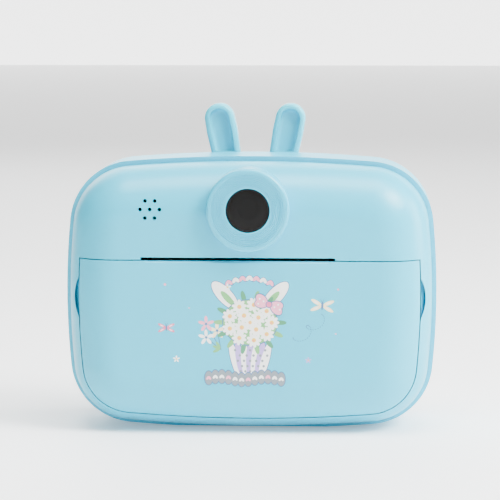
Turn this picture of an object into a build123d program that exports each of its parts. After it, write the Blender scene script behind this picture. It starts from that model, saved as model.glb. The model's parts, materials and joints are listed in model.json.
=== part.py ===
from build123d import *
import math
import os

# A toy instant-print camera: rear shell, front shell with a lens, a drop-down paper door with a
# platen roller, a thermal printer with its gear train, and the electronics between the shells.
# Millimetres. X runs to the viewer's right when the lens is in view, -Y is the front, +Z is up,
# and the origin is the centre of the flat underside.

# ---- overall form ----
BODY_WIDTH = 120.0
BODY_HEIGHT = 88.8
TOP_ARC_R = 490.0           # the outline is eight tangent arcs: slightly bowed top, bottom and sides
SIDE_ARC_R = 240.0
CORNER_R = 21.0
FRONT_Y = -26.0             # front face
REAR_Y = 25.0               # rear face
SEAM_Y = -8.0               # front rim of the rear shell
WALL = 2.0
FRONT_INSET = 1.5           # the front shell is this much smaller all round
FRONT_ROLL = 16.0           # radius of the rolled front edge
REAR_ROLL = 10.0
BASE_CUT = 0.6              # depth of the flat underside
SEAM_GAP = 0.5
TONGUE = 3.5
TONGUE_WALL = 1.2
TONGUE_CLEARANCE = 0.3

# ---- paper door ----
DOOR_INSET = 4.0            # door edge inside the front shell's outline
DOOR_TOP_Z = 56.0
DOOR_GAP = 0.35
SLOT_HEIGHT = 1.1
SLOT_SIDE = 2.4             # slot reaches this far past the paper on each side
NOTCH_Z = 43.6
NOTCH_HEIGHT = 12.5
NOTCH_DEPTH = 1.5
HINGE_Y = -20.3
HINGE_Z = 8.5
HINGE_ROD_R = 0.7
KNUCKLE_R = 1.5
KNUCKLE_LENGTH = 4.0
HINGE_BOSS_X = 22.0
HINGE_RELIEF = 0.3
SWING_R = 5.3               # the door's lower edge swings within this radius of its hinge
LUG_RISE = 3.3              # the hinge lugs pass over that swing
LUG_THICK = 1.2
PARTITION_Y = -14.0
PARTITION_WALL = 1.5

# ---- paper and printer ----
PAPER_WIDTH = 57.0
PAPER_CENTRE_X = -3.4
ROLL_R = 15.0
ROLL_CORE_R = 6.5
CORE_WALL = 1.0
ROLL_Y = -6.5
ROLL_Z = 26.0
BAY_CLEARANCE = 0.75
BAY_WALL = 1.5
BAY_TOP_Z = 44.0
PLATEN_Y = -17.0
PLATEN_Z = 50.5
PLATEN_R = 5.0
PLATEN_SHAFT_R = 1.5
PLATEN_SIDE = 0.5           # rubber reaches this far past the paper
BUSH_WALL = 1.05
RUN_CLEARANCE = 0.05
ARM_THICK = 1.7
ARM_GAP = 0.7               # rubber end to door arm
GEAR_MODULE = 0.5
GEAR_WIDTH = 3.0
GEAR_BACKLASH = 0.06
PLATEN_TEETH = 20
IDLER_TEETH = 28
PINION_TEETH = 12
PRESSURE_ANGLE = 25.0
SHEET = 0.8                 # printer frame sheet
MOTOR_R = 7.5
MOTOR_LENGTH = 14.5
MOTOR_SHAFT_R = 0.75
HEAD_WIDTH = 12.0
HEAD_THICK = 1.0
HEAD_GAP = 0.3
SINK_THICK = 3.0
SPRING_LENGTH = 5.0
SPRING_R = 2.0
SPRING_WIRE_R = 0.3

# ---- lens, speaker and ears ----
LENS_Z = 72.4
BEZEL_R = 13.25
BEZEL_PROUD = 4.0
BEZEL_EDGE = 1.1
SPIGOT_R = 11.0
SPIGOT_WALL = 1.4
WINDOW_R = 7.0
WINDOW_THICK = 1.0
WINDOW_SINK = 0.9
GROOVES = 9
GROOVE_FIRST_R = 7.6
GROOVE_PITCH = 0.46
GROOVE_WIDTH = 0.16
GROOVE_DEPTH = 0.14
BARREL_R = 6.0
BARREL_WALL = 1.3
SENSOR_BOARD_Y = -10.0
SENSOR_BOARD = 20.0
SPEAKER_X = -31.3
SPEAKER_Z = 72.3
SPEAKER_R = 8.0
SPEAKER_THICK = 3.5
SPEAKER_Y = -19.0
SPEAKER_HOLE_R = 0.62
SPEAKER_PITCH = 3.1
EAR_BASE_X = 9.2
EAR_TIP_X = 11.8
EAR_TIP_Z = 104.3
EAR_WIDTH = 10.1
EAR_Y = 18.0
EAR_THICK = 7.0
EAR_RIM = 1.6
EAR_SCOOP = 2.2             # depth of the hollow in the ear's front
EAR_SCOOP_START = 0.5       # the hollow starts this far below the body's overall height
EAR_ROOT = 7.0              # the ear reaches this far into the body
EAR_BASE_LEAN = 0.92        # share of the base and tip offsets at which the ear's curve turns
EAR_MID_LEAN = 0.93
EAR_MID_RISE = 4.5          # the widest point is this far above the ear's middle
EAR_CLEARANCE = 0.15

# ---- electronics and rear face ----
BOARD_Y = 16.4
BOARD_THICK = 1.2
BOARD_WIDTH = 108.0
BOARD_LOW_Z = 14.0
BOARD_HIGH_Z = 74.0
BATTERY_SIZE = (50.0, 5.0, 34.0)
BATTERY_Y = 11.0
BATTERY_Z = 37.0
SCREEN_X = 12.0
SCREEN_Z = 46.0
SCREEN_WIDTH = 56.0
SCREEN_HEIGHT = 44.0
SCREEN_FRAME = 4.0
SCREEN_THICK = 1.0
PANEL_THICK = 2.4
KEY_PROUD = 0.9
KEY_GAP = 0.3
KEY_FLANGE = 1.0
KEY_TRAVEL = 0.6
SWITCH_HEIGHT = 1.1
POST_X = 43.0
POST_LOW_Z = 17.0
POST_HIGH_Z = 71.4
POST_R = 3.5
POST_END_Y = -4.2
SCREW_R = 1.1
SCREW_HEAD_R = 2.1
SCREW_HEAD = 1.6
SCREW_HEAD_Y = 0.0
SCREW_LENGTH = 10.0
USB_Z = 40.5
USB_SIZE = (7.5, 3.2, 9.0)
CARD_SIZE = (15.0, 0.8, 11.0)
CARD_Z = 61.0
CARD_TRAVEL = 13.0

HALF_WIDTH = BODY_WIDTH / 2
HALF_HEIGHT = BODY_HEIGHT / 2
CENTRE_Z = HALF_HEIGHT - BASE_CUT
PAPER_LEFT = PAPER_CENTRE_X - PAPER_WIDTH / 2
PAPER_RIGHT = PAPER_CENTRE_X + PAPER_WIDTH / 2
RUBBER_LEFT = PAPER_LEFT - PLATEN_SIDE
RUBBER_RIGHT = PAPER_RIGHT + PLATEN_SIDE
ARM_RIGHT_X = RUBBER_RIGHT + ARM_GAP
ARM_LEFT_X = RUBBER_LEFT - ARM_GAP - ARM_THICK
GEAR_X = ARM_RIGHT_X + ARM_THICK + 0.5
PLATE_RIGHT_X = GEAR_X - 0.2 - SHEET
PLATE_LEFT_X = ARM_LEFT_X - 2.5 - SHEET
IDLER_Y = PLATEN_Y + GEAR_MODULE * (PLATEN_TEETH + IDLER_TEETH) / 2
IDLER_Z = PLATEN_Z
PINION_Y = IDLER_Y + 0.6 * GEAR_MODULE * (IDLER_TEETH + PINION_TEETH) / 2
PINION_Z = IDLER_Z + 0.8 * GEAR_MODULE * (IDLER_TEETH + PINION_TEETH) / 2
BAY_R = ROLL_R + BAY_CLEARANCE
BAY_LEFT_X = PAPER_LEFT - BAY_CLEARANCE - BAY_WALL
BAY_RIGHT_X = PAPER_RIGHT + BAY_CLEARANCE + BAY_WALL


def block(x0, x1, y0, y1, z0, z1):
    """Box between two corners."""
    return Pos((x0 + x1) / 2, (y0 + y1) / 2, (z0 + z1) / 2) * Box(x1 - x0, y1 - y0, z1 - z0)


def rod_x(radius, x0, x1, y, z):
    """Cylinder along X."""
    return Pos((x0 + x1) / 2, y, z) * Rot(0, 90, 0) * Cylinder(radius, x1 - x0)


def rod_y(radius, y0, y1, x, z):
    """Cylinder along Y."""
    return Pos(x, (y0 + y1) / 2, z) * Rot(90, 0, 0) * Cylinder(radius, y1 - y0)


def corner_centre():
    """Centre of the corner arc that is tangent to the top and side arcs, from the body's middle."""
    top = Vector(0, HALF_HEIGHT - TOP_ARC_R)
    side = Vector(HALF_WIDTH - SIDE_ARC_R, 0)
    from_top = TOP_ARC_R - CORNER_R
    from_side = SIDE_ARC_R - CORNER_R
    gap = (side - top).length
    along = (from_top ** 2 - from_side ** 2 + gap ** 2) / (2 * gap)
    off = math.sqrt(from_top ** 2 - along ** 2)
    unit = (side - top) / gap
    left = top + unit * along + Vector(-unit.Y, unit.X) * off
    right = top + unit * along - Vector(-unit.Y, unit.X) * off
    return left if left.X > 0 and left.Y > 0 else right


def outline(inset, y):
    """Body outline as a face, drawn in from the overall size by inset, at depth y."""
    top = Vector(0, HALF_HEIGHT - TOP_ARC_R)
    side = Vector(HALF_WIDTH - SIDE_ARC_R, 0)
    corner = corner_centre()
    to_top = (corner - top).normalized()
    to_side = (corner - side).normalized()
    quarter = [
        Vector(0, HALF_HEIGHT - inset),
        top + to_top * (TOP_ARC_R - inset),
        corner + (to_top + to_side).normalized() * (CORNER_R - inset),
        side + to_side * (SIDE_ARC_R - inset),
        Vector(HALF_WIDTH - inset, 0),
    ]
    right = quarter + [Vector(point.X, -point.Y) for point in reversed(quarter[:-1])]
    loop = right + [Vector(-point.X, point.Y) for point in reversed(right[1:-1])]
    places = [(point.X, y, CENTRE_Z + point.Y) for point in loop]
    arcs = []
    for start in range(1, len(places), 2):
        ends = [places[(start + step) % len(places)] for step in range(3)]
        arcs.append(Edge.make_three_point_arc(*ends))
    return Face(Wire(arcs))


def prism(inset, y0, y1):
    """Straight bar with the body's outline."""
    return Part(Solid.extrude(outline(inset, y0), Vector(0, y1 - y0, 0)).wrapped)


def rolled(inset, y_open, y_face, roll):
    """Bar with the body's outline whose far edge is rolled over to a flat face."""
    bar = prism(inset, y_open, y_face)
    far = bar.edges().filter_by(lambda edge: abs(edge.center().Y - y_face) < 0.01)
    return fillet(far, roll)


def front_form(offset, y_open):
    """Outer form of the front shell, drawn in by offset."""
    return rolled(FRONT_INSET + offset, y_open, FRONT_Y + offset, FRONT_ROLL - offset)


def door_prism(gap):
    """Prism along Y through the door's outline, grown by gap."""
    bar = prism(FRONT_INSET + DOOR_INSET - gap, FRONT_Y - 2, PARTITION_Y - 0.2)
    return bar - block(-HALF_WIDTH, HALF_WIDTH, FRONT_Y - 3, 0, DOOR_TOP_Z + gap, BODY_HEIGHT)


def gear(teeth, phase, x0, width, y, z, bore):
    """Involute spur gear along X, with one tooth centred on the angle phase from +Y to +Z."""
    pitch_r = GEAR_MODULE * teeth / 2
    base_r = pitch_r * math.cos(math.radians(PRESSURE_ANGLE))
    tip_r = pitch_r + GEAR_MODULE
    root_r = pitch_r - 1.25 * GEAR_MODULE
    spread = math.tan(math.radians(PRESSURE_ANGLE)) - math.radians(PRESSURE_ANGLE)
    half_tooth = math.pi / (2 * teeth) - GEAR_BACKLASH / (2 * pitch_r)
    flank = []
    for step in range(5):
        radius = max(base_r, root_r) + (tip_r - max(base_r, root_r)) * step / 4
        turn = math.acos(min(1.0, base_r / radius))
        flank.append((radius, half_tooth + spread - (math.tan(turn) - turn)))
    points = []
    for tooth in range(teeth):
        centre = math.radians(phase) + 2 * math.pi * tooth / teeth
        low_angle = flank[0][1]
        points.append((root_r, centre - low_angle))
        points.extend((radius, centre - angle) for radius, angle in flank)
        points.extend((radius, centre + angle) for radius, angle in reversed(flank))
        points.append((root_r, centre + low_angle))
    corners = [(x0, y + r * math.cos(a), z + r * math.sin(a)) for r, a in points]
    face = Face(Wire.make_polygon(corners, close=True))
    body = Solid.extrude(face, Vector(width, 0, 0))
    if bore > 0:
        body = body - rod_x(bore, x0 - 1, x0 + width + 1, y, z)
    return body


def rounded_plate(width, height, radius, y0, y1, x, z):
    """Plate facing Y with rounded corners."""
    plate = Box(width, y1 - y0, height)
    plate = fillet(plate.edges().filter_by(Axis.Y), radius)
    return Pos(x, (y0 + y1) / 2, z) * plate


def tilted(x0, x1, d0, d1, t0, t1):
    """Box in the print head's frame: d runs up and back from the platen axis, t across it."""
    return Pos(0, PLATEN_Y, PLATEN_Z) * Rot(45, 0, 0) * block(x0, x1, d0, d1, t0, t1)


KEYS = {
    "ok_key": (-36.5, 46.0, 3.6),
    "up_key": (-36.5, 55.2, 3.0),
    "down_key": (-36.5, 36.8, 3.0),
    "left_key": (-27.3, 46.0, 3.0),
    "right_key": (-45.7, 46.0, 3.0),
    "shutter_key": (-30.0, 68.5, 4.6),
    "power_key": (-45.5, 60.5, 2.6),
    "mode_key": (-46.0, 31.5, 2.6),
    "play_key": (-36.5, 26.0, 2.6),
    "print_key": (-27.0, 31.5, 2.6),
}
STATUS_LIGHT = (-38.0, 63.5, 0.9)
BOARD_BACK_Y = BOARD_Y + BOARD_THICK
SWITCH_TOP_Y = BOARD_BACK_Y + SWITCH_HEIGHT
CARD_Y = BOARD_Y - 0.9
POSTS = [(sign * POST_X, z) for sign in (-1, 1) for z in (POST_LOW_Z, POST_HIGH_Z)]
HEAD_D = PLATEN_R + HEAD_GAP
SINK_D = HEAD_D + HEAD_THICK
SPRING_D = SINK_D + SINK_THICK
BEAM_D = SPRING_D + SPRING_LENGTH
SPRING_XS = (PAPER_LEFT + 10, PAPER_CENTRE_X + 11)
BEAM_END_X = PAPER_CENTRE_X + 14.7
CHASSIS_SCREWS = ((BAY_LEFT_X - 1.6, 4.0), (BAY_RIGHT_X + 3.1, 6.8))
CHASSIS_SCREW_R = 0.7
LENS_SCREW_X = 7.9
LENS_SCREW_R = 0.6
PILOT_CLEARANCE = 0.05


def ear_form(side, grow, y0, y1):
    """Ear-shaped bar: a tongue that leans outwards and ends in a round tip."""
    tip_r = EAR_WIDTH / 2 + grow
    base_r = EAR_WIDTH / 2 - 0.6 + grow
    tip_z = EAR_TIP_Z - EAR_WIDTH / 2
    low_z = BODY_HEIGHT - EAR_ROOT
    with BuildSketch(Plane.XZ.offset(-y1)) as sketch:
        with Locations((side * EAR_BASE_X * EAR_BASE_LEAN, low_z)):
            Circle(base_r)
        with Locations((side * EAR_TIP_X * EAR_MID_LEAN, (low_z + tip_z) / 2 + EAR_MID_RISE)):
            Circle(tip_r)
        with Locations((side * EAR_TIP_X, tip_z)):
            Circle(tip_r - 0.15)
        make_hull()
    return extrude(sketch.sketch, amount=y1 - y0)


def ear(side):
    """One ear with a scooped front, a foot through the shell and a flange under it."""
    front = EAR_Y - EAR_THICK / 2
    back = EAR_Y + EAR_THICK / 2
    body = ear_form(side, 0, front, back)
    rims = body.edges().filter_by(lambda edge: edge.bounding_box().size.Y < 0.01)
    body = fillet(rims, EAR_RIM * 0.75)
    scoop = ear_form(side, -EAR_RIM, front - 5, front + EAR_SCOOP)
    deep = scoop.edges().filter_by(lambda edge: edge.bounding_box().min.Y > front + EAR_SCOOP - 0.01)
    low = block(-HALF_WIDTH, HALF_WIDTH, 0, REAR_Y, 0, BODY_HEIGHT - EAR_SCOOP_START)
    body = body - (fillet(deep, EAR_SCOOP * 0.7) - low)
    foot_z = BODY_HEIGHT - EAR_ROOT
    body = body - block(side * EAR_BASE_X - 20, side * EAR_BASE_X + 20, 0, REAR_Y + 5, 60, foot_z)
    x = side * EAR_BASE_X
    return body + block(x - 6, x + 6, front - 2.4, back - 1.5, foot_z - 1.5, foot_z + 0.6)


def rear_shell():
    """Rear shell with screw posts, screen opening, key holes, side ports and ear slots."""
    outer = rolled(0, SEAM_Y, REAR_Y, REAR_ROLL)
    inner = rolled(WALL, SEAM_Y - 1, REAR_Y - WALL, REAR_ROLL - WALL)
    posts = [rod_y(POST_R, POST_END_Y, REAR_Y - WALL / 2, x, z) for x, z in POSTS]
    shell = (outer - inner) + posts
    cuts = [block(-HALF_WIDTH, HALF_WIDTH, SEAM_Y - 1, REAR_Y + 1, -5, 0)]
    for x, z in POSTS:
        cuts.append(rod_y(SCREW_HEAD_R + 0.3, SCREW_HEAD_Y, REAR_Y + 1, x, z))
        cuts.append(rod_y(SCREW_R + 0.2, POST_END_Y - 1, SCREW_HEAD_Y + 1, x, z))
    window_width = SCREEN_WIDTH - 2 * SCREEN_FRAME
    window_height = SCREEN_HEIGHT - 2 * SCREEN_FRAME
    recess_width, recess_height = SCREEN_WIDTH + 0.2, SCREEN_HEIGHT + 0.2
    recess_y = REAR_Y - SCREEN_THICK
    wall_in = REAR_Y - WALL - 1
    cuts.append(rounded_plate(recess_width, recess_height, 4.0, recess_y, REAR_Y + 1, SCREEN_X, SCREEN_Z))
    cuts.append(rounded_plate(window_width, window_height, 1.5, wall_in, REAR_Y, SCREEN_X, SCREEN_Z))
    for x, z, radius in KEYS.values():
        cuts.append(rod_y(radius + KEY_GAP, wall_in, REAR_Y + 1, x, z))
    light_x, light_z, light_r = STATUS_LIGHT
    cuts.append(rod_y(light_r + 0.1, wall_in, REAR_Y + 1, light_x, light_z))
    usb_y = BOARD_Y - USB_SIZE[1] / 2
    usb_port = Box(10, USB_SIZE[1] + 0.6, USB_SIZE[2] + 0.6)
    usb_port = fillet(usb_port.edges().filter_by(Axis.X), 1.6)
    cuts.append(Pos(-HALF_WIDTH, usb_y, USB_Z) * usb_port)
    cuts.append(Pos(-HALF_WIDTH, CARD_Y, CARD_Z) * Box(10, CARD_SIZE[1] + 0.6, CARD_SIZE[2] + 0.8))
    ear_front = EAR_Y - EAR_THICK / 2 - EAR_CLEARANCE
    ear_back = EAR_Y + EAR_THICK / 2 + EAR_CLEARANCE
    cuts.extend(ear_form(side, EAR_CLEARANCE, ear_front, ear_back) for side in (-1, 1))
    return shell - cuts


def paper_bay():
    """Trough for the paper roll, with its end walls and the two lugs under the printer frame."""
    reach = BAY_R + BAY_WALL
    trough = rod_x(reach, BAY_LEFT_X, BAY_RIGHT_X, ROLL_Y, ROLL_Z)
    trough = trough + block(BAY_LEFT_X, BAY_RIGHT_X, PARTITION_Y, ROLL_Y + reach, ROLL_Z, BAY_TOP_Z)
    for index, (x, y) in enumerate(CHASSIS_SCREWS):
        x0 = x - 2.2 if index == 0 else BAY_RIGHT_X - 0.5
        x1 = BAY_LEFT_X + 0.5 if index == 0 else x + 2.6
        trough = trough + block(x0, x1, y - 2.8, y + 2.7, BAY_TOP_Z - 6, BAY_TOP_Z)
    front = block(BAY_LEFT_X - 1, BAY_RIGHT_X + 1, FRONT_Y, HINGE_Y + 2.1, 0, BAY_TOP_Z)
    trough = trough - front
    for side in (-1, 1):
        x0, x1 = sorted((side * HINGE_BOSS_X, side * (HINGE_BOSS_X + KNUCKLE_LENGTH)))
        trough = trough + rod_x(KNUCKLE_R, x0, x1, HINGE_Y, HINGE_Z)
        lug_top = HINGE_Z + LUG_RISE + LUG_THICK
        foot_y = HINGE_Y + SWING_R
        trough = trough + block(x0, x1, HINGE_Y, HINGE_Y + LUG_THICK, HINGE_Z, lug_top)
        trough = trough + block(x0, x1, HINGE_Y, PARTITION_Y, HINGE_Z + LUG_RISE, lug_top)
        trough = trough + block(x0, x1, foot_y, PARTITION_Y + PARTITION_WALL / 2, HINGE_Z, lug_top)
    return trough


def bay_space():
    """Space inside the trough, open to the front and top."""
    left, right = BAY_LEFT_X + BAY_WALL, BAY_RIGHT_X - BAY_WALL
    space = rod_x(BAY_R, left, right, ROLL_Y, ROLL_Z)
    space = space + block(left, right, FRONT_Y, ROLL_Y + BAY_R, ROLL_Z, BAY_TOP_Z + 5)
    return space


def front_core():
    """What stands inside the front shell: inner wall, paper bay, bosses and speaker duct."""
    wall = prism(FRONT_INSET + WALL / 2, PARTITION_Y, PARTITION_Y + PARTITION_WALL)
    mechanism = block(
        PLATE_LEFT_X - 0.7, GEAR_X + GEAR_WIDTH + 2.5, FRONT_Y, SEAM_Y, BAY_TOP_Z - 1.5, BODY_HEIGHT
    )
    above = block(-HALF_WIDTH, HALF_WIDTH, FRONT_Y, SEAM_Y, DOOR_TOP_Z + 2, BODY_HEIGHT)
    core = (wall - [mechanism, above]) + paper_bay()
    additions = []
    for x, z in POSTS:
        start = PARTITION_Y if z < DOOR_TOP_Z else FRONT_Y
        additions.append(rod_y(POST_R - 0.5, start, POST_END_Y, x, z))
    duct = rod_y(SPEAKER_R + 1.4, FRONT_Y, SPEAKER_Y + SPEAKER_THICK, SPEAKER_X, SPEAKER_Z)
    additions.append(duct - rod_y(SPEAKER_R + 0.2, FRONT_Y - 1, 0, SPEAKER_X, SPEAKER_Z))
    core = core + additions
    cuts = [bay_space()]
    for x, z in POSTS:
        cuts.append(rod_y(SCREW_R + PILOT_CLEARANCE, POST_END_Y - 8, POST_END_Y + 1, x, z))
    for x, y in CHASSIS_SCREWS:
        cuts.append(Pos(x, y, BAY_TOP_Z - 2) * Cylinder(CHASSIS_SCREW_R + PILOT_CLEARANCE, 6))
    for side in (-1, 1):
        x0, x1 = sorted((side * (HINGE_BOSS_X - 1), side * (HINGE_BOSS_X + KNUCKLE_LENGTH + 1)))
        cuts.append(rod_x(HINGE_ROD_R + 0.01, x0, x1, HINGE_Y, HINGE_Z))
    return (core - cuts) & front_form(WALL / 2, REAR_Y - 5)


def finger_scoops():
    """Shallow crescents in the side strips, beside the door's edges."""
    radius = ((NOTCH_HEIGHT / 2) ** 2 + NOTCH_DEPTH ** 2) / (2 * NOTCH_DEPTH)
    edge_x = HALF_WIDTH - FRONT_INSET - DOOR_INSET + DOOR_GAP
    keep = front_form(1.3, SEAM_Y + 1)
    scoops = []
    for side in (-1, 1):
        middle = side * (edge_x + NOTCH_DEPTH - radius)
        bar = rod_y(radius, FRONT_Y, SEAM_Y, middle, NOTCH_Z)
        near = block(*sorted((side * (edge_x - 3), side * HALF_WIDTH)), FRONT_Y, SEAM_Y, 20, 70)
        scoops.append((bar & near) - keep)
    return scoops


def front_shell():
    """Front shell: rolled face with the door opening and holes, tongue, and what stands inside."""
    skin = front_form(0, SEAM_Y - SEAM_GAP) - front_form(WALL, SEAM_Y + 1)
    cuts = [door_prism(DOOR_GAP)] + finger_scoops()
    cuts.append(rod_y(SPIGOT_R + 0.15, FRONT_Y - 1, PARTITION_Y, 0, LENS_Z))
    cuts.extend(rod_y(SPEAKER_HOLE_R, FRONT_Y - 1, SPEAKER_Y, x, z) for x, z in speaker_holes())
    slot_left, slot_right = PAPER_LEFT - SLOT_SIDE, PAPER_RIGHT + SLOT_SIDE
    slot_top = DOOR_TOP_Z + SLOT_HEIGHT
    cuts.append(block(slot_left, slot_right, FRONT_Y - 1, FRONT_Y + WALL + 1, DOOR_TOP_Z, slot_top))
    tongue_back = SEAM_Y - SEAM_GAP + TONGUE
    tongue_inset = WALL + TONGUE_CLEARANCE
    tongue = prism(tongue_inset, SEAM_Y - SEAM_GAP - 1, tongue_back)
    tongue = tongue - prism(tongue_inset + TONGUE_WALL, SEAM_Y - 4, tongue_back + 1)
    return (skin - cuts) + [tongue, front_core()]


def speaker_holes():
    """Centres of the seven sound holes: one in the middle of a ring of six."""
    centres = [(SPEAKER_X, SPEAKER_Z)]
    for step in range(6):
        angle = math.pi / 3 * step
        x = SPEAKER_X + SPEAKER_PITCH * math.cos(angle)
        centres.append((x, SPEAKER_Z + SPEAKER_PITCH * math.sin(angle)))
    return centres


def door_panel():
    """Paper door: rolled skin, two arms for the platen bushes, a stiffening bar and knuckles."""
    panel = (front_form(0, 0) - front_form(WALL, 1)) & door_prism(0)
    extras = None
    for x0 in (ARM_LEFT_X, ARM_RIGHT_X):
        arm = block(x0, x0 + ARM_THICK, FRONT_Y + WALL / 2, PLATEN_Y + 3.5, PLATEN_Z - 4.5, PLATEN_Z + 4)
        arm = arm - rod_x(PLATEN_SHAFT_R + RUN_CLEARANCE + BUSH_WALL, x0 - 1, x0 + 3, PLATEN_Y, PLATEN_Z)
        extras = arm if extras is None else extras + arm
    bar_y = FRONT_Y + WALL
    extras = extras + block(ARM_LEFT_X, ARM_RIGHT_X, bar_y - 0.3, bar_y + 1.5, 42.0, 43.5)
    for side in (-1, 1):
        start = HINGE_BOSS_X + KNUCKLE_LENGTH + HINGE_RELIEF
        x0, x1 = sorted((side * start, side * (start + KNUCKLE_LENGTH)))
        knuckle = rod_x(KNUCKLE_R, x0, x1, HINGE_Y, HINGE_Z)
        knuckle = knuckle + block(x0, x1, HINGE_Y - 4, HINGE_Y, HINGE_Z - 1.5, HINGE_Z + 1.5)
        extras = extras + knuckle
        x0, x1 = sorted((side * (HINGE_BOSS_X - HINGE_RELIEF), side * start))
        panel = panel - rod_x(KNUCKLE_R + HINGE_RELIEF, x0, x1, HINGE_Y, HINGE_Z)
    panel = panel + (extras & front_form(WALL / 4, 0))
    rod_end = HINGE_BOSS_X + 2 * KNUCKLE_LENGTH + 1
    panel = panel - rod_x(HINGE_ROD_R + RUN_CLEARANCE, -rod_end, rod_end, HINGE_Y, HINGE_Z)
    lip = Pos(PAPER_CENTRE_X, FRONT_Y, DOOR_TOP_Z) * Rot(45, 0, 0) * Box(PAPER_WIDTH + 1.4, 0.8, 0.8)
    return panel - lip


def lens_bezel():
    """Ring round the lens: rounded edge, fine grooves, window seat, spigot and two board posts."""
    face_y = FRONT_Y - BEZEL_PROUD
    ring = rod_y(BEZEL_R, face_y, PARTITION_Y, 0, LENS_Z)
    edge = ring.edges().filter_by(GeomType.CIRCLE).sort_by(Axis.Y)[0]
    ring = fillet(edge, BEZEL_EDGE) - front_form(-0.05, 0)
    spigot = rod_y(SPIGOT_R, FRONT_Y - 1, FRONT_Y + 6, 0, LENS_Z)
    ring = ring + (spigot - rod_y(SPIGOT_R - SPIGOT_WALL, FRONT_Y + 0.5, 0, 0, LENS_Z))
    for side in (-1, 1):
        post = rod_y(1.4, FRONT_Y, SENSOR_BOARD_Y, side * LENS_SCREW_X, LENS_Z)
        pilot = rod_y(LENS_SCREW_R + PILOT_CLEARANCE, SENSOR_BOARD_Y - 5, 0, side * LENS_SCREW_X, LENS_Z)
        ring = ring + post - pilot
    ring = ring - rod_y(WINDOW_R, face_y - 1, face_y + WINDOW_SINK + WINDOW_THICK, 0, LENS_Z)
    ring = ring - rod_y(BARREL_R + 0.3, face_y, 0, 0, LENS_Z)
    for index in range(GROOVES):
        radius = GROOVE_FIRST_R + index * GROOVE_PITCH
        cut = rod_y(radius + GROOVE_WIDTH / 2, face_y - 1, face_y + GROOVE_DEPTH, 0, LENS_Z)
        ring = ring - (cut - rod_y(radius - GROOVE_WIDTH / 2, face_y - 2, face_y + 1, 0, LENS_Z))
    return ring


def lens_window():
    """Flat cover glass sunk into the bezel."""
    front = FRONT_Y - BEZEL_PROUD + WINDOW_SINK
    return rod_y(WINDOW_R - 0.05, front, front + WINDOW_THICK, 0, LENS_Z)


def lens_barrel():
    """Barrel with a stepped mouth that stands on the sensor board."""
    front = FRONT_Y - BEZEL_PROUD + WINDOW_SINK + WINDOW_THICK + 0.3
    barrel = rod_y(BARREL_R, front, SENSOR_BOARD_Y, 0, LENS_Z)
    barrel = barrel - rod_y(BARREL_R - BARREL_WALL, front + 1.2, 0, 0, LENS_Z)
    barrel = barrel - rod_y(BARREL_R - 2 * BARREL_WALL, front - 1, 0, 0, LENS_Z)
    return barrel - Pos(0, front, LENS_Z) * Rot(90, 0, 0) * Cone(3.4, 5.4, 2.0)


def lens_glass(y0, thick, bulge):
    """Lens with a domed front face."""
    radius = BARREL_R - BARREL_WALL - 0.05
    sphere_r = (radius ** 2 + bulge ** 2) / (2 * bulge)
    half_y = y0 + sphere_r - math.sqrt(sphere_r ** 2 - (radius / 2) ** 2)
    profile = [
        ThreePointArc((0, y0), (radius / 2, half_y), (radius, y0 + bulge)),
        Line((radius, y0 + bulge), (radius, y0 + thick)),
        Line((radius, y0 + thick), (0, y0 + thick)),
        Line((0, y0 + thick), (0, y0)),
    ]
    return Pos(0, 0, LENS_Z) * revolve(make_face(profile), Axis.Y)


def sensor_board():
    """Small board behind the lens with the image sensor on it."""
    half = SENSOR_BOARD / 2
    board = block(-half, half, SENSOR_BOARD_Y, SENSOR_BOARD_Y + 1.2, LENS_Z - 8, LENS_Z + 8)
    board = board + block(-3.4, 3.4, SENSOR_BOARD_Y - 1, SENSOR_BOARD_Y, LENS_Z - 3.1, LENS_Z + 3.1)
    for side in (-1, 1):
        hole = rod_y(LENS_SCREW_R + 0.2, SENSOR_BOARD_Y - 1, 0, side * LENS_SCREW_X, LENS_Z)
        board = board - hole
    return board


def screw_y(radius, head_r, head, head_y, length, x, z):
    """Screw along Y, head towards the back, with a cross recess."""
    screw = rod_y(radius, head_y - length, head_y, x, z) + rod_y(head_r, head_y, head_y + head, x, z)
    long_side = head_r * 1.2
    for width, height in ((long_side, 0.4), (0.4, long_side)):
        screw = screw - block(
            x - width / 2, x + width / 2, head_y + head / 2, head_y + head + 1,
            z - height / 2, z + height / 2,
        )
    return screw


def lens_screws():
    """Two screws that hold the sensor board."""
    y = SENSOR_BOARD_Y + 1.2
    return [screw_y(LENS_SCREW_R, 1.1, 0.8, y, 4, side * LENS_SCREW_X, LENS_Z) for side in (-1, 1)]


def case_screws():
    """Four screws that join the shells."""
    return [
        screw_y(SCREW_R, SCREW_HEAD_R, SCREW_HEAD, SCREW_HEAD_Y, SCREW_LENGTH, x, z) for x, z in POSTS
    ]


def chassis_screws():
    """Two screws that hold the printer frame down."""
    screws = []
    for x, y in CHASSIS_SCREWS:
        shank = Pos(x, y, BAY_TOP_Z + SHEET - 2) * Cylinder(CHASSIS_SCREW_R, 4)
        head = Pos(x, y, BAY_TOP_Z + SHEET + 0.45) * Cylinder(1.4, 0.9)
        screws.append(shank + head - (Pos(x, y, BAY_TOP_Z + SHEET + 0.9) * Box(1.7, 0.35, 0.8)))
    return screws


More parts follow.
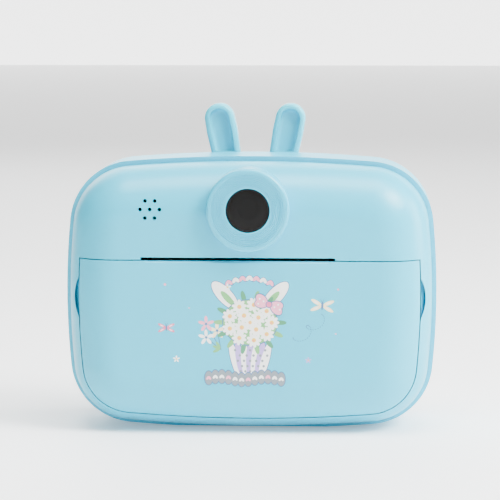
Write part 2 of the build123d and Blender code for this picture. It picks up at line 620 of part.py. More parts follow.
def printer_chassis():
    """Folded sheet frame: base, two cheeks, motor rib and the angled beam behind the head springs."""
    low, high = BAY_TOP_Z, BAY_TOP_Z + SHEET
    back = ROLL_Y + BAY_R + 0.25
    cheek_front = PLATEN_Y + PLATEN_R + 0.5
    frame = block(PLATE_LEFT_X, PLATE_RIGHT_X + SHEET, cheek_front + 3, back, low, high)
    for (x, y), side in zip(CHASSIS_SCREWS, (-1, 1)):
        x0 = x - 2.2 if side < 0 else PLATE_RIGHT_X
        x1 = PLATE_LEFT_X + 2 if side < 0 else x + 2.6
        frame = frame + block(x0, x1, y - 2.7, y + 2.6, low, high)
    frame = frame + block(PLATE_LEFT_X, PLATE_LEFT_X + SHEET, cheek_front, back, low, low + 20)
    top = PINION_Z + MOTOR_R + 0.5
    frame = frame + block(PLATE_RIGHT_X, PLATE_RIGHT_X + SHEET, cheek_front, back, low, top)
    frame = frame + block(BEAM_END_X - SHEET, BEAM_END_X, -5, back, low, 58.2)
    frame = frame + tilted(PLATE_LEFT_X, BEAM_END_X, BEAM_D, BEAM_D + SHEET, -6, 2.2)
    frame = frame - rod_x(MOTOR_SHAFT_R + 0.5, PLATE_RIGHT_X - 1, GEAR_X, PINION_Y, PINION_Z)
    frame = frame - rod_x(MOTOR_SHAFT_R, PLATE_RIGHT_X - 1, GEAR_X, IDLER_Y, IDLER_Z)
    for x, y in CHASSIS_SCREWS:
        frame = frame - Pos(x, y, low) * Cylinder(CHASSIS_SCREW_R + 0.1, 4)
    return frame


def print_head():
    """Ceramic head plate with a raised heater line."""
    half = HEAD_WIDTH / 2
    plate = tilted(PAPER_LEFT, PAPER_RIGHT, HEAD_D, SINK_D, -half, half)
    return plate + tilted(PAPER_LEFT + 4, PAPER_RIGHT - 4, HEAD_D - 0.15, HEAD_D, -0.4, 0.4)


def head_heat_sink():
    """Finned aluminium back of the head."""
    half = HEAD_WIDTH / 2
    sink = tilted(PAPER_LEFT, PAPER_RIGHT, SINK_D, SPRING_D, -half, half)
    for step in range(-2, 3):
        if step == 0:
            continue
        t = step * 2.2
        sink = sink - tilted(PAPER_LEFT - 1, PAPER_RIGHT + 1, SINK_D + 1.6, SPRING_D + 1, t - 0.5, t + 0.5)
    return sink


def head_springs():
    """Two compression springs between the heat sink and the beam."""
    turns = 4
    springs = []
    for x in SPRING_XS:
        height = SPRING_LENGTH - 2 * SPRING_WIRE_R - 0.1
        path = Helix(height / turns, height, SPRING_R - SPRING_WIRE_R)
        start = path @ 0
        section = Plane(origin=start, z_dir=path % 0) * Circle(SPRING_WIRE_R)
        coil = sweep(section, path, is_frenet=True)
        placed = Pos(0, PLATEN_Y, PLATEN_Z) * Rot(45, 0, 0) * Pos(x, SPRING_D, 0) * Rot(-90, 0, 0)
        springs.append(placed * Pos(0, 0, SPRING_WIRE_R + 0.05) * coil)
    return springs


def stepper_motor():
    """Motor can with two ears and a bore for its shaft."""
    x1 = PLATE_RIGHT_X
    motor = rod_x(MOTOR_R, x1 - MOTOR_LENGTH, x1, PINION_Y, PINION_Z)
    motor = motor + rod_x(3.0, x1 - MOTOR_LENGTH - 1, x1 - MOTOR_LENGTH, PINION_Y, PINION_Z)
    return motor - rod_x(MOTOR_SHAFT_R + RUN_CLEARANCE, x1 - MOTOR_LENGTH + 1, x1 + 1, PINION_Y, PINION_Z)


def platen_bushes():
    """Two bushes that carry the platen shaft in the door's arms."""
    bushes = []
    for x0 in (ARM_LEFT_X, ARM_RIGHT_X):
        bore = PLATEN_SHAFT_R + RUN_CLEARANCE
        bush = rod_x(bore + BUSH_WALL, x0, x0 + ARM_THICK, PLATEN_Y, PLATEN_Z)
        bushes.append(bush - rod_x(bore, x0 - 1, x0 + ARM_THICK + 1, PLATEN_Y, PLATEN_Z))
    return bushes


def tear_bar():
    """Steel strip with fine teeth along its lower edge."""
    inner = FRONT_Y + WALL
    low = DOOR_TOP_Z + SLOT_HEIGHT - 0.2
    bar = block(PAPER_LEFT - 1, PAPER_RIGHT + 1, inner, inner + 0.5, low, low + 3.5)
    count = int((PAPER_WIDTH + 2) / 1.5)
    for step in range(count):
        x = PAPER_LEFT - 1 + (step + 0.5) * (PAPER_WIDTH + 2) / count
        bar = bar - Pos(x, inner, low) * Rot(0, 45, 0) * Box(0.5, 2, 0.5)
    return bar


def key(name):
    """Round key with a flange behind the wall and a stem over its switch."""
    x, z, radius = KEYS[name]
    cap = rod_y(radius, REAR_Y - WALL - 1, REAR_Y + KEY_PROUD, x, z)
    cap = fillet(cap.edges().filter_by(GeomType.CIRCLE).sort_by(Axis.Y)[-1], 0.5)
    flange_back = REAR_Y - WALL - 0.1
    stem_end = SWITCH_TOP_Y + KEY_TRAVEL + 0.05
    cap = cap + rod_y(radius + KEY_FLANGE, flange_back - 1, flange_back, x, z)
    return cap + rod_y(1.2, stem_end, flange_back, x, z)


def tact_switches():
    """One switch on the board behind each key."""
    switches = []
    for x, z, _ in KEYS.values():
        body = block(x - 2.2, x + 2.2, BOARD_BACK_Y, SWITCH_TOP_Y - 0.3, z - 2.2, z + 2.2)
        switches.append(body + rod_y(1.1, SWITCH_TOP_Y - 0.4, SWITCH_TOP_Y, x, z))
    return switches


def mainboard():
    """Main circuit board with clearance round the screw posts."""
    height = BOARD_HIGH_Z - BOARD_LOW_Z
    middle = (BOARD_HIGH_Z + BOARD_LOW_Z) / 2
    board = rounded_plate(BOARD_WIDTH, height, 5.0, BOARD_Y, BOARD_BACK_Y, 0, middle)
    for x, z in POSTS:
        board = board - rod_y(POST_R + 0.5, BOARD_Y - 1, BOARD_BACK_Y + 1, x, z)
    return board


def board_chips():
    """Processor and memory on the front of the board."""
    chips = []
    for x, z, size in ((38, 44, 12), (38, 60, 8), (-33, 30, 7)):
        half = size / 2
        chips.append(block(x - half, x + half, BOARD_Y - 1.3, BOARD_Y, z - half, z + half))
    return chips


def battery():
    """Flat pouch cell with rounded edges."""
    cell = Box(*BATTERY_SIZE)
    cell = fillet(cell.edges().filter_by(Axis.X), 1.6)
    return Pos(0, BATTERY_Y + BATTERY_SIZE[1] / 2, BATTERY_Z) * cell


def usb_socket():
    """Charging socket: a steel shell with a tongue."""
    length, depth, width = USB_SIZE
    x = -HALF_WIDTH + WALL + 0.4 + length / 2
    y = BOARD_Y - depth / 2
    shell = Box(length, depth, width)
    shell = fillet(shell.edges().filter_by(Axis.X), 1.4)
    hollow = Box(length, depth - 0.6, width - 0.6)
    hollow = fillet(hollow.edges().filter_by(Axis.X), 1.1)
    shell = shell - Pos(-1, 0, 0) * hollow
    return Pos(x, y, USB_Z) * (shell + Pos(0.5, 0, 0) * Box(length - 1.5, 0.7, width - 2.6))


def card_socket():
    """Metal cover that guides the memory card against the board."""
    x1 = -HALF_WIDTH + WALL + CARD_SIZE[0] + 0.9
    cover = block(x1 - 13, x1, CARD_Y - 0.9, BOARD_Y, CARD_Z - 6.6, CARD_Z + 6.6)
    half_card = CARD_SIZE[1] / 2 + 0.1
    pocket = CARD_SIZE[2] / 2 + 0.1
    return cover - block(-HALF_WIDTH, x1 - 1, CARD_Y - half_card, CARD_Y + half_card, CARD_Z - pocket,
                         CARD_Z + pocket)


def memory_card():
    """Memory card, its back edge just proud of the side wall."""
    x0 = -HALF_WIDTH - 0.3
    half = CARD_SIZE[1] / 2
    return block(x0, x0 + CARD_SIZE[0], CARD_Y - half, CARD_Y + half, CARD_Z - CARD_SIZE[2] / 2,
                 CARD_Z + CARD_SIZE[2] / 2)


def screen_window():
    """Clear cover over the display, flush with the rear face."""
    return rounded_plate(
        SCREEN_WIDTH, SCREEN_HEIGHT, 3.9, REAR_Y - SCREEN_THICK, REAR_Y, SCREEN_X, SCREEN_Z
    )


def display_panel():
    """Display module between the board and the rear wall."""
    y0 = REAR_Y - WALL - 2.0 - PANEL_THICK
    width, height = SCREEN_WIDTH - 2, SCREEN_HEIGHT - 2
    return rounded_plate(width, height, 1.0, y0, y0 + PANEL_THICK, SCREEN_X, SCREEN_Z)


def display_gasket():
    """Foam frame between the display and the rear wall."""
    y0 = REAR_Y - WALL - 2.0
    width, height = SCREEN_WIDTH - 4, SCREEN_HEIGHT - 4
    frame = rounded_plate(width, height, 1.0, y0, REAR_Y - WALL, SCREEN_X, SCREEN_Z)
    opening = rounded_plate(width - 4, height - 4, 1.0, y0 - 1, REAR_Y, SCREEN_X, SCREEN_Z)
    return frame - opening


def speaker():
    """Loudspeaker: basket, magnet and domed cone in one closed unit."""
    body = rod_y(SPEAKER_R, SPEAKER_Y + 0.5, SPEAKER_Y + SPEAKER_THICK, SPEAKER_X, SPEAKER_Z)
    magnet_back = SPEAKER_Y + SPEAKER_THICK + 1.5
    return body + rod_y(SPEAKER_R * 0.6, SPEAKER_Y + 1, magnet_back, SPEAKER_X, SPEAKER_Z)


def spinning_gears():
    """Platen gear, idler and motor pinion, each turned so that its teeth mesh with the next."""
    idler_phase = 180.0 - 180.0 / IDLER_TEETH
    mesh = math.degrees(math.atan2(PINION_Z - IDLER_Z, PINION_Y - IDLER_Y))
    offset = (idler_phase - mesh) % (360.0 / IDLER_TEETH)
    pinion_gap = mesh + 180.0 - offset * IDLER_TEETH / PINION_TEETH
    pinion_phase = pinion_gap + 180.0 / PINION_TEETH
    wide, x = GEAR_WIDTH, GEAR_X
    idler_bore = MOTOR_SHAFT_R + RUN_CLEARANCE
    return {
        "platen_gear": gear(PLATEN_TEETH, 0.0, x, wide, PLATEN_Y, PLATEN_Z, PLATEN_SHAFT_R),
        "idler_gear": gear(IDLER_TEETH, idler_phase, x, wide, IDLER_Y, IDLER_Z, idler_bore),
        "motor_pinion": gear(PINION_TEETH, pinion_phase, x, wide, PINION_Y, PINION_Z, MOTOR_SHAFT_R),
    }


def tube_x(outer_r, inner_r, x0, x1, y, z):
    """Tube along X."""
    return rod_x(outer_r, x0, x1, y, z) - rod_x(inner_r, x0 - 1, x1 + 1, y, z)


def all_parts():
    """Every sub-part by node name."""
    shaft_left = ARM_LEFT_X - 0.8
    gear_end = GEAR_X + GEAR_WIDTH
    rod_end = HINGE_BOSS_X + 2 * KNUCKLE_LENGTH + HINGE_RELIEF
    light_x, light_z, light_r = STATUS_LIGHT
    parts = {
        "rear_shell": rear_shell(),
        "front_shell": front_shell(),
        "left_ear": ear(-1),
        "right_ear": ear(1),
        "lens_bezel": lens_bezel(),
        "lens_window": lens_window(),
        "lens_barrel": lens_barrel(),
        "front_lens": lens_glass(-26.0, 2.2, 1.5),
        "rear_lens": lens_glass(-18.0, 1.6, 0.8),
        "sensor_board": sensor_board(),
        "lens_screws": lens_screws(),
        "speaker": speaker(),
        "tear_bar": tear_bar(),
        "hinge_rod": rod_x(HINGE_ROD_R, -rod_end, rod_end, HINGE_Y, HINGE_Z),
        "printer_chassis": printer_chassis(),
        "print_head": print_head(),
        "head_heat_sink": head_heat_sink(),
        "head_springs": head_springs(),
        "stepper_motor": stepper_motor(),
        "idler_pin": rod_x(MOTOR_SHAFT_R, PLATE_RIGHT_X, gear_end + 0.6, IDLER_Y, IDLER_Z),
        "chassis_screws": chassis_screws(),
        "case_screws": case_screws(),
        "mainboard": mainboard(),
        "board_chips": board_chips(),
        "tact_switches": tact_switches(),
        "battery": battery(),
        "usb_socket": usb_socket(),
        "card_socket": card_socket(),
        "memory_card": memory_card(),
        "display_panel": display_panel(),
        "display_gasket": display_gasket(),
        "screen_window": screen_window(),
        "status_light": rod_y(light_r, BOARD_BACK_Y + 0.6, REAR_Y + 0.1, light_x, light_z),
        "door_panel": door_panel(),
        "platen_bushes": platen_bushes(),
        "platen_roller": tube_x(
            PLATEN_R, PLATEN_SHAFT_R, RUBBER_LEFT, RUBBER_RIGHT, PLATEN_Y, PLATEN_Z
        ),
        "platen_shaft": rod_x(PLATEN_SHAFT_R, shaft_left, gear_end + 0.5, PLATEN_Y, PLATEN_Z),
        "motor_shaft": rod_x(
            MOTOR_SHAFT_R, PLATE_RIGHT_X - MOTOR_LENGTH + 2, gear_end + 0.3, PINION_Y, PINION_Z
        ),
        "paper_roll": tube_x(ROLL_R, ROLL_CORE_R, PAPER_LEFT, PAPER_RIGHT, ROLL_Y, ROLL_Z),
        "roll_core": tube_x(
            ROLL_CORE_R, ROLL_CORE_R - CORE_WALL, PAPER_LEFT, PAPER_RIGHT, ROLL_Y, ROLL_Z
        ),
    }
    parts.update(spinning_gears())
    for name in KEYS:
        parts[name] = key(name)
    return parts


os.makedirs("parts", exist_ok=True)
for node, shape in all_parts().items():
    if isinstance(shape, list):
        shape = Compound([solid for item in shape for solid in item.solids()])
    export_step(shape, "parts/" + node + ".step")
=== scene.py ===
"""Looks of the toy instant camera: finishes, printed artwork, ears, lens ring and studio."""
import json
import logging
import math
from dataclasses import dataclass
from enum import Enum

import bpy
from mathutils import Matrix, Vector


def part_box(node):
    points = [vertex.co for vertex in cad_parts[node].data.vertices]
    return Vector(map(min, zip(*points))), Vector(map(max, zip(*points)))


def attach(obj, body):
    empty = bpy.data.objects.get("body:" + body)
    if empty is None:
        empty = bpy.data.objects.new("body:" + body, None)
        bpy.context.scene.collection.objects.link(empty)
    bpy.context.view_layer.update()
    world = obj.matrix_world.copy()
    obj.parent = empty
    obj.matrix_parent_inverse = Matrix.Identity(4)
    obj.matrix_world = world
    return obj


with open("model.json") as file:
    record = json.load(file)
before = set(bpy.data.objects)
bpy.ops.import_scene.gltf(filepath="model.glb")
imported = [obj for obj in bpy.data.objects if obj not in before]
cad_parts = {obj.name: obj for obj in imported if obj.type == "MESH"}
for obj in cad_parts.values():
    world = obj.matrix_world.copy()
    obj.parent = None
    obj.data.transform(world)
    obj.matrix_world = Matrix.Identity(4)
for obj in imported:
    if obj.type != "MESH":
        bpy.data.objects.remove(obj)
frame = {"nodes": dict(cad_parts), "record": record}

LOG = logging.getLogger("toy_camera")
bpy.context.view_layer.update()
MM = 0.001
Colour = tuple[float, float, float]


def srgb(code: str) -> Colour:
    """Turn a six-digit colour code into linear values.

    Args:
        code: red, green and blue as hexadecimal pairs.

    Returns:
        The three linear components.
    """
    parts = [int(code[start:start + 2], 16) / 255 for start in (0, 2, 4)]
    return tuple(part / 12.92 if part <= 0.04045 else ((part + 0.055) / 1.055) ** 2.4 for part in parts)


# ---------------------------------------------------------------- shared effects


class Effect(Enum):
    """The shader node groups that more than one finish uses."""

    GRAIN = "moulded_grain"
    BRUSH = "brushed_lines"
    DRIFT = "tone_drift"


class EffectKit:
    """Builds each shared effect once and places it in materials."""

    def __init__(self) -> None:
        """Build the groups."""
        self.groups = {
            Effect.GRAIN: self._grain(),
            Effect.BRUSH: self._brush(),
            Effect.DRIFT: self._drift(),
        }

    @staticmethod
    def _open(effect: Effect, inputs: dict[str, str], outputs: dict[str, str]) -> tuple:
        """Start a group with named sockets.

        Args:
            effect: the effect that the group makes.
            inputs: socket type by input name.
            outputs: socket type by output name.

        Returns:
            The group, its input node and its output node.
        """
        tree = bpy.data.node_groups.new(effect.value, "ShaderNodeTree")
        for name, kind in inputs.items():
            tree.interface.new_socket(name=name, in_out="INPUT", socket_type=kind)
        for name, kind in outputs.items():
            tree.interface.new_socket(name=name, in_out="OUTPUT", socket_type=kind)
        return tree, tree.nodes.new("NodeGroupInput"), tree.nodes.new("NodeGroupOutput")

    def _grain(self) -> bpy.types.NodeTree:
        """Fine spark-eroded texture of a moulded surface, with a roughness that follows it."""
        tree, start, end = self._open(
            Effect.GRAIN,
            {"Vector": "NodeSocketVector", "Scale": "NodeSocketFloat", "Roughness": "NodeSocketFloat"},
            {"Height": "NodeSocketFloat", "Roughness": "NodeSocketFloat"},
        )
        fine = tree.nodes.new("ShaderNodeTexNoise")
        fine.inputs["Detail"].default_value = 3.0
        soft = tree.nodes.new("ShaderNodeTexNoise")
        soft.inputs["Scale"].default_value = 90.0
        spread = tree.nodes.new("ShaderNodeMath")
        spread.operation = "MULTIPLY_ADD"
        spread.inputs[1].default_value = 0.10
        centre = tree.nodes.new("ShaderNodeMath")
        centre.operation = "SUBTRACT"
        centre.inputs[1].default_value = 0.05
        link = tree.links.new
        link(start.outputs["Vector"], fine.inputs["Vector"])
        link(start.outputs["Vector"], soft.inputs["Vector"])
        link(start.outputs["Scale"], fine.inputs["Scale"])
        link(fine.outputs["Fac"], end.inputs["Height"])
        link(soft.outputs["Fac"], spread.inputs[0])
        link(start.outputs["Roughness"], spread.inputs[2])
        link(spread.outputs[0], centre.inputs[0])
        link(centre.outputs[0], end.inputs["Roughness"])
        return tree

    def _brush(self) -> bpy.types.NodeTree:
        """Long fine scratches of brushed or drawn metal."""
        tree, start, end = self._open(
            Effect.BRUSH,
            {"Vector": "NodeSocketVector", "Roughness": "NodeSocketFloat"},
            {"Height": "NodeSocketFloat", "Roughness": "NodeSocketFloat"},
        )
        stretch = tree.nodes.new("ShaderNodeMapping")
        stretch.inputs["Scale"].default_value = (120.0, 3800.0, 3800.0)
        lines = tree.nodes.new("ShaderNodeTexNoise")
        lines.inputs["Scale"].default_value = 1.0
        lines.inputs["Detail"].default_value = 2.0
        spread = tree.nodes.new("ShaderNodeMath")
        spread.operation = "MULTIPLY_ADD"
        spread.inputs[1].default_value = 0.14
        link = tree.links.new
        link(start.outputs["Vector"], stretch.inputs["Vector"])
        link(stretch.outputs["Vector"], lines.inputs["Vector"])
        link(lines.outputs["Fac"], end.inputs["Height"])
        link(lines.outputs["Fac"], spread.inputs[0])
        link(start.outputs["Roughness"], spread.inputs[2])
        link(spread.outputs[0], end.inputs["Roughness"])
        return tree

    def _drift(self) -> bpy.types.NodeTree:
        """Slow change of tone over a surface, between a colour and its deeper shade."""
        tree, start, end = self._open(
            Effect.DRIFT,
            {
                "Vector": "NodeSocketVector",
                "Colour": "NodeSocketColor",
                "Shade": "NodeSocketColor",
                "Scale": "NodeSocketFloat",
            },
            {"Colour": "NodeSocketColor"},
        )
        noise = tree.nodes.new("ShaderNodeTexNoise")
        noise.inputs["Detail"].default_value = 2.0
        mix = tree.nodes.new("ShaderNodeMix")
        mix.data_type = "RGBA"
        link = tree.links.new
        link(start.outputs["Vector"], noise.inputs["Vector"])
        link(start.outputs["Scale"], noise.inputs["Scale"])
        link(noise.outputs["Fac"], mix.inputs["Factor"])
        link(start.outputs["Colour"], mix.inputs[6])
        link(start.outputs["Shade"], mix.inputs[7])
        link(mix.outputs[2], end.inputs["Colour"])
        return tree


EFFECTS = EffectKit()


@dataclass(frozen=True)
class Finish:
    """A moulded or painted surface: colour with a slow drift of tone and a fine grain."""

    name: str
    colour: str
    roughness: float = 0.4
    metallic: float = 0.0
    tone: float = 0.06
    tone_scale: float = 35.0
    grain: float = 1800.0
    depth: float = 0.05
    coat: float = 0.0
    specular: float = 0.5
    subsurface: float = 0.0

    def base(self) -> tuple:
        """Make the material with its shader and object coordinates.

        Returns:
            The material, its Principled shader and the coordinate node.
        """
        material = bpy.data.materials.new(self.name)
        material.use_nodes = True
        shader = material.node_tree.nodes["Principled BSDF"]
        shader.inputs["Metallic"].default_value = self.metallic
        shader.inputs["Coat Weight"].default_value = self.coat
        shader.inputs["Coat Roughness"].default_value = 0.12
        shader.inputs["Specular IOR Level"].default_value = self.specular
        shader.inputs["Subsurface Weight"].default_value = self.subsurface
        shader.inputs["Subsurface Scale"].default_value = 0.002
        return material, shader, material.node_tree.nodes.new("ShaderNodeTexCoord")

    def place(self, material: bpy.types.Material, effect: Effect) -> bpy.types.Node:
        """Put a shared effect in a material and feed it object coordinates."""
        nodes = material.node_tree.nodes
        node = nodes.new("ShaderNodeGroup")
        node.node_tree = EFFECTS.groups[effect]
        coordinates = next(item for item in nodes if item.bl_idname == "ShaderNodeTexCoord")
        material.node_tree.links.new(coordinates.outputs["Object"], node.inputs["Vector"])
        return node

    def tint(self, material: bpy.types.Material, target: bpy.types.NodeSocket, code: str) -> None:
        """Feed a colour with its slow drift of tone to a socket."""
        drift = self.place(material, Effect.DRIFT)
        colour = srgb(code)
        drift.inputs["Colour"].default_value = (*(min(1.0, part * (1 + self.tone)) for part in colour), 1)
        drift.inputs["Shade"].default_value = (*(part * (1 - self.tone) for part in colour), 1)
        drift.inputs["Scale"].default_value = self.tone_scale
        material.node_tree.links.new(drift.outputs["Colour"], target)

    def relief(self, material: bpy.types.Material, shader: bpy.types.Node, effect: Effect) -> None:
        """Feed roughness and a bump from the grain or brush effect."""
        node = self.place(material, effect)
        node.inputs["Roughness"].default_value = self.roughness
        if effect is Effect.GRAIN:
            node.inputs["Scale"].default_value = self.grain
        bump = material.node_tree.nodes.new("ShaderNodeBump")
        bump.inputs["Strength"].default_value = self.depth
        bump.inputs["Distance"].default_value = 0.0002
        link = material.node_tree.links.new
        link(node.outputs["Height"], bump.inputs["Height"])
        link(bump.outputs["Normal"], shader.inputs["Normal"])
        link(node.outputs["Roughness"], shader.inputs["Roughness"])

    def build(self) -> bpy.types.Material:
        """Make the material.

        Returns:
            The finished material.
        """
        material, shader, _ = self.base()
        self.tint(material, shader.inputs["Base Color"], self.colour)
        self.relief(material, shader, Effect.BRUSH if self.metallic > 0.5 else Effect.GRAIN)
        return material


@dataclass(frozen=True)
class ClearFinish(Finish):
    """Glass or clear plastic, tinted by its colour."""

    clearness: float = 1.0
    index: float = 1.5

    def build(self) -> bpy.types.Material:
        """Make the clear material.

        Returns:
            The finished material.
        """
        material, shader, _ = self.base()
        self.tint(material, shader.inputs["Base Color"], self.colour)
        self.relief(material, shader, Effect.GRAIN)
        shader.inputs["Transmission Weight"].default_value = self.clearness
        shader.inputs["IOR"].default_value = self.index
        return material


@dataclass(frozen=True)
class GlowFinish(Finish):
    """A pale studio surface that also gives off a little light."""

    glow: float = 0.5

    def build(self) -> bpy.types.Material:
        """Make the glowing material.

        Returns:
            The finished material.
        """
        material = super().build()
        shader = material.node_tree.nodes["Principled BSDF"]
        shader.inputs["Emission Color"].default_value = (1.0, 1.0, 1.0, 1.0)
        shader.inputs["Emission Strength"].default_value = self.glow
        return material


@dataclass(frozen=True)
class LayeredFinish(Finish):
    """Paper or card wound in turns about an axis along X: fine rings on its ends."""

    centre_y: float = 0.0
    centre_z: float = 0.0
    ring_pitch: float = 0.0004
    ring_colour: str = "C8C4BC"

    def build(self) -> bpy.types.Material:
        """Make the wound material.

        Returns:
            The finished material.
        """
        material, shader, coordinates = self.base()
        nodes, link = material.node_tree.nodes, material.node_tree.links.new
        mapping = nodes.new("ShaderNodeMapping")
        mapping.inputs["Location"].default_value = (0.0, -self.centre_y, -self.centre_z)
        rings = nodes.new("ShaderNodeTexWave")
        rings.wave_type = "RINGS"
        rings.rings_direction = "X"
        rings.inputs["Scale"].default_value = 0.314 / self.ring_pitch
        rings.inputs["Distortion"].default_value = 0.6
        mix = nodes.new("ShaderNodeMix")
        mix.data_type = "RGBA"
        mix.inputs[6].default_value = (*srgb(self.colour), 1)
        mix.inputs[7].default_value = (*srgb(self.ring_colour), 1)
        sharp = nodes.new("ShaderNodeMath")
        sharp.operation = "POWER"
        sharp.inputs[1].default_value = 4.0
        link(coordinates.outputs["Object"], mapping.inputs["Vector"])
        link(mapping.outputs["Vector"], rings.inputs["Vector"])
        link(rings.outputs["Fac"], sharp.inputs[0])
        link(sharp.outputs[0], mix.inputs["Factor"])
        link(mix.outputs[2], shader.inputs["Base Color"])
        self.relief(material, shader, Effect.GRAIN)
        return material


@dataclass(frozen=True)
class GroovedFinish(Finish):
    """A turned ring: fine grooves round an axis along Y, between two radii of its face."""

    centre_z: float = 0.0
    pitch: float = 0.00056
    inner: float = 0.0077
    outer: float = 0.0123

    def build(self) -> bpy.types.Material:
        """Make the grooved material.

        Returns:
            The finished material.
        """
        material, shader, coordinates = self.base()
        nodes, link = material.node_tree.nodes, material.node_tree.links.new
        self.tint(material, shader.inputs["Base Color"], self.colour)
        self.relief(material, shader, Effect.GRAIN)
        mapping = nodes.new("ShaderNodeMapping")
        mapping.inputs["Location"].default_value = (0.0, 0.0, -self.centre_z)
        flat = nodes.new("ShaderNodeVectorMath")
        flat.operation = "MULTIPLY"
        flat.inputs[1].default_value = (1.0, 0.0, 1.0)
        radius = nodes.new("ShaderNodeVectorMath")
        radius.operation = "LENGTH"
        turns = nodes.new("ShaderNodeMath")
        turns.operation = "MULTIPLY"
        turns.inputs[1].default_value = 2 * math.pi / self.pitch
        wave = nodes.new("ShaderNodeMath")
        wave.operation = "SINE"
        inside = nodes.new("ShaderNodeMapRange")
        inside.inputs["From Min"].default_value = self.outer
        inside.inputs["From Max"].default_value = self.outer - self.pitch / 2
        outside = nodes.new("ShaderNodeMapRange")
        outside.inputs["From Min"].default_value = self.inner
        outside.inputs["From Max"].default_value = self.inner + self.pitch / 2
        first, second = nodes.new("ShaderNodeMath"), nodes.new("ShaderNodeMath")
        first.operation = second.operation = "MULTIPLY"
        grooves = nodes.new("ShaderNodeBump")
        grooves.inputs["Strength"].default_value = 0.55
        grooves.inputs["Distance"].default_value = 0.00009
        link(coordinates.outputs["Object"], mapping.inputs["Vector"])
        link(mapping.outputs["Vector"], flat.inputs[0])
        link(flat.outputs["Vector"], radius.inputs[0])
        link(radius.outputs["Value"], turns.inputs[0])
        link(turns.outputs[0], wave.inputs[0])
        link(radius.outputs["Value"], inside.inputs["Value"])
        link(radius.outputs["Value"], outside.inputs["Value"])
        link(inside.outputs["Result"], first.inputs[0])
        link(outside.outputs["Result"], first.inputs[1])
        link(first.outputs[0], second.inputs[0])
        link(wave.outputs[0], second.inputs[1])
        link(second.outputs[0], grooves.inputs["Height"])
        link(grooves.outputs["Normal"], shader.inputs["Normal"])
        return material


@dataclass(frozen=True)
class BoardFinish(Finish):
    """Circuit board: solder mask with copper tracks under it."""

    track_colour: str = "2F8A4E"

    def build(self) -> bpy.types.Material:
        """Make the circuit board material.

        Returns:
            The finished material.
        """
        material, shader, coordinates = self.base()
        nodes, link = material.node_tree.nodes, material.node_tree.links.new
        turned = nodes.new("ShaderNodeMapping")
        turned.inputs["Rotation"].default_value = (math.radians(90), 0.0, 0.0)
        tracks = nodes.new("ShaderNodeTexBrick")
        tracks.inputs["Scale"].default_value = 160.0
        tracks.inputs["Mortar Size"].default_value = 0.035
        tracks.inputs["Color1"].default_value = (*srgb(self.colour), 1)
        tracks.inputs["Color2"].default_value = (*(part * 0.9 for part in srgb(self.colour)), 1)
        tracks.inputs["Mortar"].default_value = (*srgb(self.track_colour), 1)
        link(coordinates.outputs["Object"], turned.inputs["Vector"])
        link(turned.outputs["Vector"], tracks.inputs["Vector"])
        link(tracks.outputs["Color"], shader.inputs["Base Color"])
        self.relief(material, shader, Effect.GRAIN)
        return material


